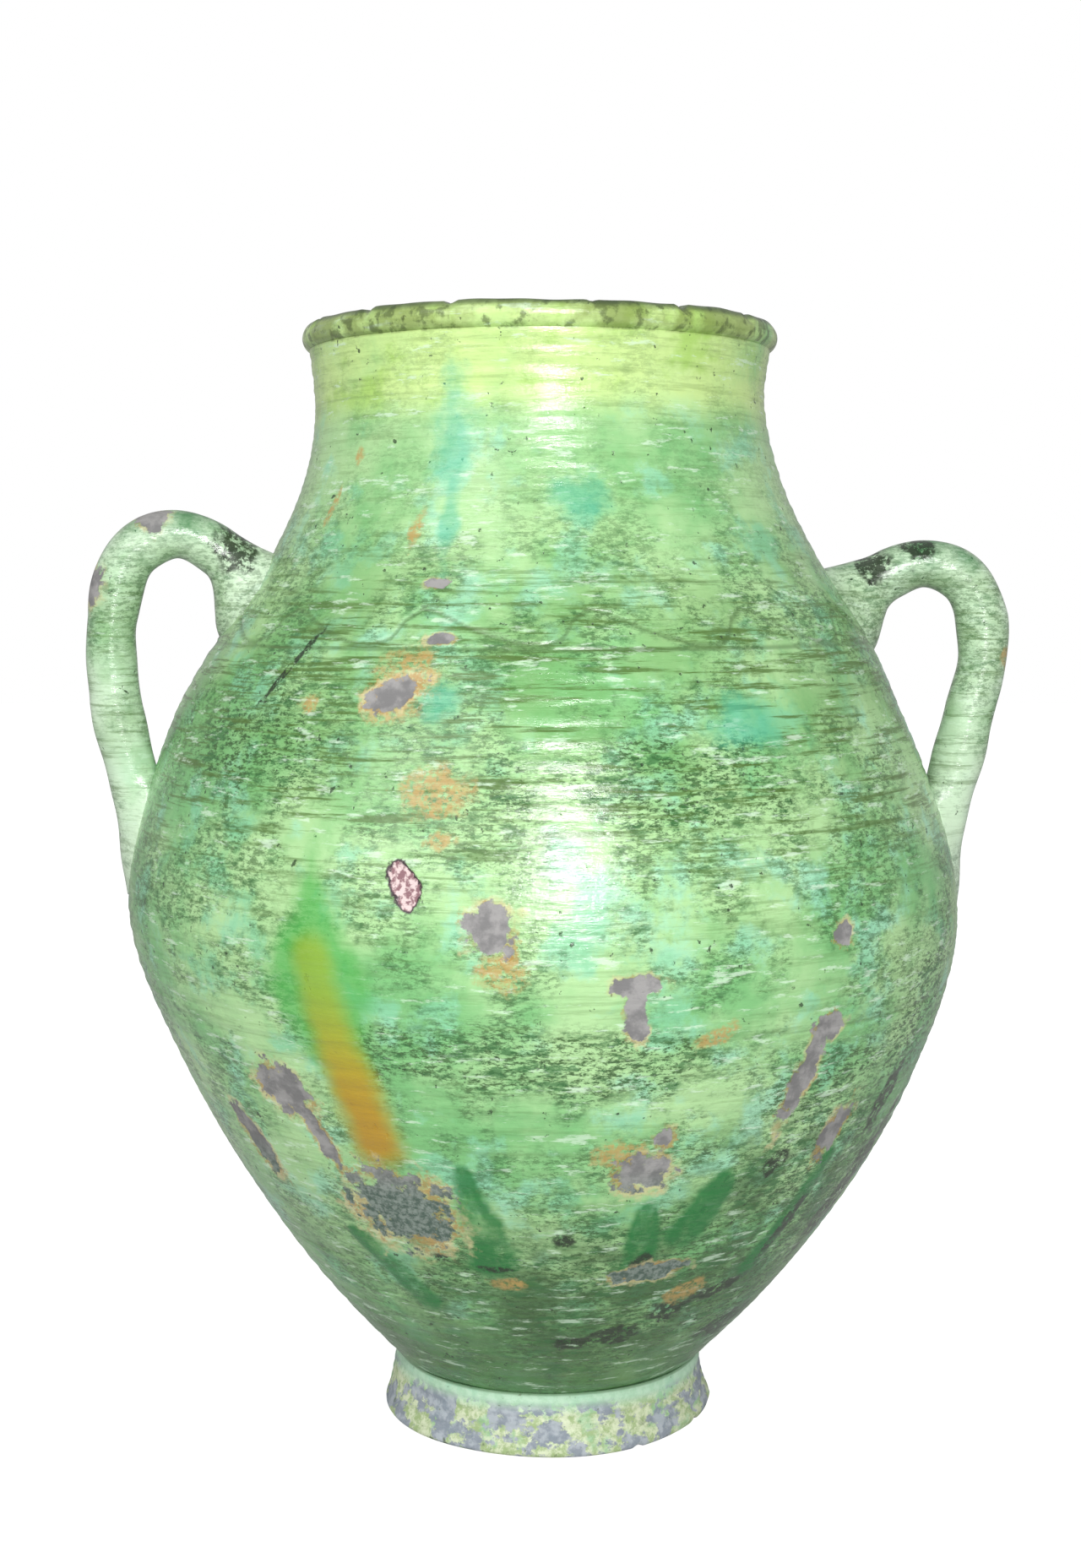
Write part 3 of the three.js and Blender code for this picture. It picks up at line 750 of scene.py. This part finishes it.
    def make(self) -> Material:
        """Makes the material."""
        m = Palette(self.name)
        height = m.height()
        cloud, blotch, grain = m.noise(70, 5), m.noise(24, 6), m.noise(7, 6)
        colour = self.ground(m, height, cloud, blotch)
        colour, pits = self.mottled(m, colour, height)
        colour = self.rimmed(m, colour, height, blotch, grain)
        colour = self.runs(m, colour, height)
        colour, bare = self.scars(m, colour, height, grain)
        return m.fire(colour, bare, pits, grain)


@dataclass(frozen=True)
class FootGlaze:
    """Worn lead glaze: chalky cream and yellow-green scale, with lavender-grey bare patches and no shine."""

    name: str

    def make(self) -> Material:
        """Makes the material."""
        m = Palette(self.name)
        height = m.height()
        grain, scale = m.noise(4, 6, rough=0.7), m.noise(16, 6, (1, 1, 1.3), 0.65)
        colour = m.mix(m.ramp(grain, 0.4, 0.6), 0xA8BE86, 0xDDE6C4)
        colour = m.over(colour, m.ramp(m.noise(12, 5), 0.52, 0.66), 0.6, 0x8FCB9B)
        colour = m.over(colour, m.ramp(height, 0.017, 0.024), 0.7, 0xB8E6CC)
        bare = m.times(m.ramp(scale, 0.48, 0.52), m.ramp(height, 0.025, 0.019))
        grey = m.mix(m.ramp(m.noise(5, 5), 0.42, 0.6), 0x8C93A6, 0xB3B9C6)
        colour = m.over(colour, bare, 0.9, grey)
        spots = m.times(m.ramp(m.noise(9, 3), 0.62, 0.68), m.ramp(height, 0.014, 0.006))
        colour = m.over(colour, spots, 0.8, 0x5B6B50)
        colour = m.over(colour, m.ramp(height, 0.0262, 0.0276), 0.7, 0x47743F)
        pits = m.ramp(m.noise(3, 3), 0.66, 0.72)
        colour = m.over(colour, pits, 0.6, 0x6E7A5C)
        return m.fire(colour, m.math("MAXIMUM", bare, 0.6), pits, grain)


@dataclass(frozen=True)
class FiredClay:
    """Fired red clay, thrown and left bare: open-grained, dusty and without shine."""

    name: str

    def make(self) -> Material:
        """Makes the material."""
        m = Palette(self.name)
        colour = m.mix(m.ramp(m.noise(20, 6), 0.4, 0.62), 0x9A7758, 0xBFA283)
        colour = m.over(colour, m.ramp(m.noise(1.6, 3), 0.6, 0.7), 0.7, 0x6B4E3A)
        m.tree.links.new(colour, m.shader.inputs["Base Color"])
        m.shader.inputs["Roughness"].default_value = 0.9
        m.bump(m.noise(2, 4), 0.4, 0.0008)
        return m.material


@dataclass(frozen=True)
class Section:
    """One thrown section of the wall, from its lower edge to its upper edge in millimetres."""

    name: str
    node: str
    low: float
    high: float
    rings: int
    steps: int
    slot: str = "green_glaze"

    def profile(self) -> Points:
        """Lists the section's outline, up the outside and down the inside."""
        heights = np.linspace(self.low, self.high, self.rings)
        outside = [(float(wall_radius(z)), float(z)) for z in heights]
        low = max(self.low, FLOOR_TOP)
        inside = [(float(inner_radius(z)), float(z)) for z in np.linspace(self.high, low, INSIDE_RINGS)]
        if self.low > WAIST:
            return outside + inside
        boss = [(0, BOSS_FLOOR), (BOSS_RADIUS, BOSS_FLOOR), (BOSS_RADIUS, WAIST)]
        return boss + outside + inside + [(0, FLOOR_TOP)]

    def displace(self, mesh: bpy.types.Mesh) -> None:
        """Moves the outer wall by the surface relief, and everything by the lean."""
        co = coordinates(mesh)
        r, z = np.hypot(co[:, 0], co[:, 1]), co[:, 2]
        azimuth = np.degrees(np.arctan2(co[:, 0], -co[:, 1]))
        on_wall = np.clip((r - wall_radius(z) + 3) / 2, 0, 1) * (z >= WAIST - 0.01)
        out = relief(azimuth, z) * on_wall
        scale = np.where(r > 0, (r + out) / np.maximum(r, 1e-9), 1)
        co[:, 0] = co[:, 0] * scale + lean(z)
        co[:, 1] *= scale
        set_coordinates(mesh, co)

    def build(self, material: Material) -> None:
        """Spins the section, roughens it and gives it its finish."""
        obj = spun(self.name, self.profile(), self.steps)
        self.displace(obj.data)
        paint_fields(obj.data)
        place(obj, self.node, material)


@dataclass(frozen=True)
class Foot:
    """The turned foot ring, splayed downwards and chipped at its resting edge, in millimetres."""

    name: str = "foot"
    node: str = "foot_ring"
    slot: str = "worn_glaze"
    radius: float = 76.4
    waist: float = 71.5
    corner: float = 3.0
    hollow: float = 60.0
    steps: int = 360

    def profile(self) -> Points:
        """Lists the foot's outline, up its splayed outside and down its hollow."""
        edge = (self.corner, self.corner)
        corner = arc((self.radius - self.corner, self.corner), edge, -90, 0, 6)
        splay, rise = self.radius - self.waist, WAIST - self.corner
        share = np.linspace(0.05, 1, 24)
        flare = [(self.waist + splay * (1 - t) ** 2.2, self.corner + rise * t) for t in share]
        return corner + flare + [(BOSS_RADIUS, WAIST), (BOSS_RADIUS, BOSS_FLOOR), (self.hollow, 0)]

    def wear(self, mesh: bpy.types.Mesh) -> None:
        """Breaks small chips out of the resting edge and makes the outside uneven."""
        co = coordinates(mesh)
        turn = np.arctan2(co[:, 0], -co[:, 1])
        r = np.hypot(co[:, 0], co[:, 1])
        outer = np.clip((r - 68) / 4, 0, 1)
        chip = np.clip(np.sin(turn * 11 + 1) * np.sin(turn * 7) * np.sin(turn * 17 + 2) - 0.25, 0, 1)
        co[:, 2] += chip * 5 * outer * np.clip(1 - co[:, 2] / 6, 0, 1)
        out = (0.5 * np.sin(turn * 5 + co[:, 2] / 6) + 0.25 * np.sin(co[:, 2] * 1.4 + turn)) * outer
        co[:, 0] = co[:, 0] * (r + out) / r + lean(co[:, 2])
        co[:, 1] *= (r + out) / r
        set_coordinates(mesh, co)

    def build(self, material: Material) -> None:
        """Spins the foot, wears it and gives it its finish."""
        obj = spun(self.name, self.profile(), self.steps)
        self.wear(obj.data)
        paint_fields(obj.data)
        place(obj, self.node, material)


@dataclass(frozen=True)
class Lip:
    """The rolled lip, rounder outside than inside, worn along its top, in millimetres."""

    name: str = "lip"
    node: str = "lip_roll"
    slot: str = "dark_glaze"
    middle: float = 493.5
    outer: float = 102.9
    inner: float = 97.9
    roll: float = 4.4
    drop: float = 5.5
    rise: float = 6.5
    edge: float = 104.0
    steps: int = 480

    def profile(self) -> Points:
        """Lists the lip's outline, round its outside and over its top."""
        top = (self.roll, self.rise)
        outside = arc((self.outer, self.middle), (self.roll, self.drop), -60, 0, 6)
        outside += arc((self.outer, self.middle), top, 6, 90, 10)
        inside = arc((self.inner, self.middle), top, 90, 180, 10)
        return [(self.edge, COLLAR)] + outside + inside + [(float(inner_radius(COLLAR - 0.1)), COLLAR)]

    def wear(self, mesh: bpy.types.Mesh) -> None:
        """Wears the top down unevenly and breaks small chips out of it."""
        co = coordinates(mesh)
        turn = np.arctan2(co[:, 0], -co[:, 1])
        top = np.clip((co[:, 2] - 492) / 6, 0, 1)
        wear = 0.5 * np.sin(turn * 5 + 0.4) + 0.35 * np.sin(turn * 13 + 1) + 0.25 * np.sin(turn * 29)
        chip = np.clip(np.sin(turn * 9 + 2.2) * np.sin(turn * 23 + 0.3) - 0.62, 0, 1) * 5
        co[:, 2] -= top * (0.8 + 0.5 * wear + chip)
        co[:, 0] += lean(co[:, 2])
        set_coordinates(mesh, co)

    def build(self, material: Material) -> None:
        """Spins the lip, wears it and gives it its finish."""
        obj = spun(self.name, self.profile(), self.steps)
        self.wear(obj.data)
        paint_fields(obj.data)
        place(obj, self.node, material)


def spline(points: Points, count: int) -> tuple[np.ndarray, np.ndarray, np.ndarray]:
    """Samples a smooth curve through points at even lengths.

    Args:
        points: The stations, as (radius, height) pairs.
        count: How many samples to take.

    Returns:
        The samples, the tangents and the distance along the curve.
    """
    p = np.array(points, float)
    p = np.vstack([2 * p[0] - p[1], p, 2 * p[-1] - p[-2]])
    t = np.linspace(0, 1, 40, endpoint=False)[:, None]
    fine = []
    for i in range(1, len(p) - 2):
        square = (2 * p[i - 1] - 5 * p[i] + 4 * p[i + 1] - p[i + 2]) * t**2
        cube = (3 * p[i] - p[i - 1] - 3 * p[i + 1] + p[i + 2]) * t**3
        fine.append(0.5 * (2 * p[i] + (p[i + 1] - p[i - 1]) * t + square + cube))
    line = np.vstack([*fine, p[-2]])
    along = np.concatenate([[0], np.cumsum(np.hypot(*np.diff(line, axis=0).T))])
    at = np.linspace(0, along[-1], count)
    even = np.stack([np.interp(at, along, line[:, k]) for k in (0, 1)], axis=1)
    tangent = np.gradient(even, axis=0)
    return even, tangent / np.linalg.norm(tangent, axis=1)[:, None], at


def smoothstep(value: np.ndarray) -> np.ndarray:
    """Eases a value from 0 to 1."""
    t = np.clip(value, 0, 1)
    return t * t * (3 - 2 * t)


@dataclass(frozen=True)
class Grip:
    """One pulled handle: its turn round the jar, its stations of (height, stand-off) and its worn places."""

    name: str
    node: str
    azimuth: float
    stations: tuple
    wear: tuple
    slot: str = "green_glaze"
    thick: float = 22.6
    wide: float = 27.0
    root_thick: float = 50.0
    root_wide: float = 46.0
    root_flare: float = 34.0
    tail_wide: float = 31.0
    tail_flare: float = 60.0
    skirt: float = 8.0
    bed: float = 4.0
    rings: int = 150
    sides: int = 48

    def bedded(self, rho: float, side: float, z: float) -> tuple[float, float]:
        """Spreads a point that comes near the wall, and stops it just inside.

        Args:
            rho: Its distance from the axis, along the handle's plane.
            side: Its distance from that plane.
            z: Its height.

        Returns:
            The two distances, moved.
        """
        reach = math.hypot(rho, side)
        wall = float(wall_radius(z))
        gap = reach - wall
        if gap < self.skirt:
            side *= 1 + 0.28 * (1 - max(gap, 0) / self.skirt) ** 2
            rho = math.sqrt(max(reach * reach - side * side, 1.0))
        least = wall - self.bed
        if math.hypot(rho, side) < least:
            fit = least / math.hypot(rho, side)
            rho, side = rho * fit, side * fit
        return rho, side

    def sweep(self) -> bmesh.types.BMesh:
        """Sweeps the handle's oval section along its centre line, flared at both ends.

        Returns:
            The handle as a closed bmesh.
        """
        line = [(float(wall_radius(z)) + off, z) for z, off in self.stations]
        middle, tangent, at = spline(line, self.rings)
        root = smoothstep(1 - at / self.root_flare)
        tail = smoothstep((at - at[-1] + self.tail_flare) / self.tail_flare)
        thick = (self.thick + (self.root_thick - self.thick) * root) / 2
        wide = (self.wide + (self.tail_wide - self.wide) * tail + (self.root_wide - self.wide) * root) / 2
        thick = thick + 0.35 * np.sin(at / 11) + 0.25 * np.sin(at / 4.7)
        outward = np.stack([-tangent[:, 1], tangent[:, 0]], axis=1)
        turn = math.radians(self.azimuth)
        bm = bmesh.new()
        loops = []
        for i in range(self.rings):
            loop = []
            for j in range(self.sides):
                a = math.tau * j / self.sides
                rho, z = middle[i] + outward[i] * thick[i] * math.cos(a)
                rho, side = self.bedded(rho, wide[i] * math.sin(a), z)
                x = rho * math.cos(turn) - side * math.sin(turn) + float(lean(z))
                y = rho * math.sin(turn) + side * math.cos(turn)
                loop.append(bm.verts.new((x * MM, y * MM, z * MM)))
            loops.append(loop)
        for low, high in zip(loops, loops[1:]):
            for j in range(self.sides):
                k = (j + 1) % self.sides
                bm.faces.new((low[j], low[k], high[k], high[j]))
        bm.faces.new(loops[0])
        bm.faces.new(loops[-1])
        return bm

    def paint(self, mesh: bpy.types.Mesh) -> None:
        """Writes the handle's fields: dark green pooled on its crown, and a few worn places."""
        co = coordinates(mesh)
        out = np.hypot(co[:, 0], co[:, 1])
        above_crown = co[:, 2] - max(z for z, _ in self.stations)
        fields = {kind: np.full(len(co), OUTSIDE) for kind in MarkKind}
        fields[MarkKind.DRIP] = np.clip((above_crown + 8) / 30, -1, 0.3) - 0.22
        fields[MarkKind.SHADE] = np.clip((above_crown + 50) / 60, -1, 0.8)
        for kind, reach, height, size in self.wear:
            worn = 1 - np.hypot(out - reach, co[:, 2] - height) / size
            fields[kind] = np.maximum(fields[kind], worn)
        for kind, field in fields.items():
            write_field(mesh, kind.value, field)
        write_field(mesh, CUT, np.zeros(len(co)))

    def build(self, material: Material) -> None:
        """Sweeps the handle, paints it and gives it its finish."""
        obj = finished(self.name, self.sweep())
        self.paint(obj.data)
        place(obj, self.node, material)


SECTIONS = (
    Section("bowl_lower", "lower_bowl", WAIST, BELLY_SEAM, 118, 480),
    Section("bowl_upper", "upper_bowl", BELLY_SEAM, SHOULDER_SEAM, 104, 520),
    Section("collar_neck", "neck_collar", SHOULDER_SEAM, COLLAR, 104, 640),
)
GRIPS = (
    Grip(
        "handle_on_left",
        "left_handle",
        188.0,
        ((372, -14), (396.5, 21.5), (406, 48), (395, 62.5), (366, 52), (327, 26.5), (289, 4.5), (246, -10.5)),
        ((MarkKind.FLAKE, 176, 414, 8), (MarkKind.FLAKE, 205, 384, 9), (MarkKind.DARK, 140, 400, 10)),
    ),
    Grip(
        "handle_on_right",
        "right_handle",
        -2.0,
        ((366, -14), (384, 18.5), (393, 47.5), (383, 61.5), (352, 49), (316, 25.5), (276, 1.5), (234, -9.5)),
        ((MarkKind.OCHRE, 214, 350, 6), (MarkKind.DARK, 170, 402, 9), (MarkKind.DARK, 150, 392, 8)),
    ),
)


@dataclass(frozen=True)
class Lamp:
    """One soft square lamp: where it hangs, in metres, its size and its power."""

    name: str
    spot: tuple
    size: float
    power: float

    def build(self) -> None:
        """Hangs the lamp, facing the middle of the jar."""
        data = bpy.data.lights.new(self.name, "AREA")
        data.size, data.energy = self.size, self.power
        obj = bpy.data.objects.new(self.name, data)
        obj.location = self.spot
        obj.rotation_euler = (Vector(LAMP_TARGET) - Vector(self.spot)).to_track_quat("-Z", "Y").to_euler()
        bpy.context.collection.objects.link(obj)


@dataclass(frozen=True)
class Studio:
    """The pale floor, the two soft lamps, the white surround and the camera, in metres."""

    floor_size: float = 6.0
    floor_colour: int = 0xD8D8D8
    floor_glow: float = 0.8
    sky_light: float = 0.42
    lens: float = 48.96
    sensor: float = 36.0
    eye: tuple = (-0.0008, -0.98357, 0.3825)
    pitch: float = 84.72
    lamps: tuple = (
        Lamp("key", (0.16, -1.45, 0.8), 0.2, 14),
        Lamp("fill", (-0.9, -1.2, 1.3), 1.0, 8),
    )

    def lay_floor(self) -> None:
        """Lays the floor, which glows for the camera alone so that it meets the white surround."""
        bm = bmesh.new()
        bmesh.ops.create_grid(bm, x_segments=1, y_segments=1, size=self.floor_size)
        mesh = bpy.data.meshes.new("floor")
        bm.to_mesh(mesh)
        bm.free()
        floor = bpy.data.objects.new("floor", mesh)
        bpy.context.collection.objects.link(floor)
        m = Palette("pale_floor")
        m.shader.inputs["Base Color"].default_value = m.linear(self.floor_colour)
        m.shader.inputs["Roughness"].default_value = 0.95
        m.shader.inputs["Emission Color"].default_value = (1, 1, 1, 1)
        seen = m.node("ShaderNodeLightPath").outputs["Is Camera Ray"]
        m.tree.links.new(m.times(seen, self.floor_glow), m.shader.inputs["Emission Strength"])
        floor.data.materials.append(m.material)

    def surround(self) -> None:
        """Sets a world that is white to the camera and through glass, and a soft light to all else."""
        world = bpy.data.worlds.new("studio")
        bpy.context.scene.world = world
        world.use_nodes = True
        tree = world.node_tree
        tree.nodes.clear()
        path = add_node(tree, "ShaderNodeLightPath").outputs
        rays = {0: path["Is Camera Ray"], 1: path["Is Transmission Ray"]}
        seen = add_node(tree, "ShaderNodeMath", {"operation": "MAXIMUM"}, rays).outputs[0]
        ends = {"Value": seen, "To Min": self.sky_light, "To Max": 1.0}
        light = add_node(tree, "ShaderNodeMapRange", inputs=ends).outputs[0]
        sky = add_node(tree, "ShaderNodeBackground", inputs={"Strength": light, "Color": (1, 1, 1, 1)})
        add_node(tree, "ShaderNodeOutputWorld", inputs={"Surface": sky.outputs[0]})

    def aim_camera(self) -> None:
        """Sets the camera where the photograph was taken from."""
        camera = bpy.data.cameras.new("camera")
        camera.lens, camera.sensor_width = self.lens, self.sensor
        holder = bpy.data.objects.new("camera", camera)
        holder.location = self.eye
        holder.rotation_euler = (math.radians(self.pitch), 0, 0)
        bpy.context.collection.objects.link(holder)
        bpy.context.scene.camera = holder

    def build(self) -> None:
        """Builds the whole studio."""
        self.lay_floor()
        self.surround()
        for lamp in self.lamps:
            lamp.build()
        self.aim_camera()
        bpy.context.scene.view_settings.view_transform = "Standard"


def main() -> None:
    """Builds the dressed jar round the frame."""
    logging.basicConfig(level=logging.INFO)
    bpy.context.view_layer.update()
    Studio().build()
    green = GreenGlaze("copper_green_glaze").make()
    for section in SECTIONS:
        section.build(green)
    Foot().build(FootGlaze("weathered_foot_glaze").make())
    Lip().build(green)
    pale = GreenGlaze("smooth_handle_glaze", mottle=0.6, wash=0.85).make()
    for grip in GRIPS:
        grip.build(pale)
    earth = FiredClay("fired_clay").make()
    for name in COILS:
        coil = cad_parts[name]
        coil.data.materials.clear()
        coil.data.materials.append(earth)


if __name__ == "__main__":
    main()
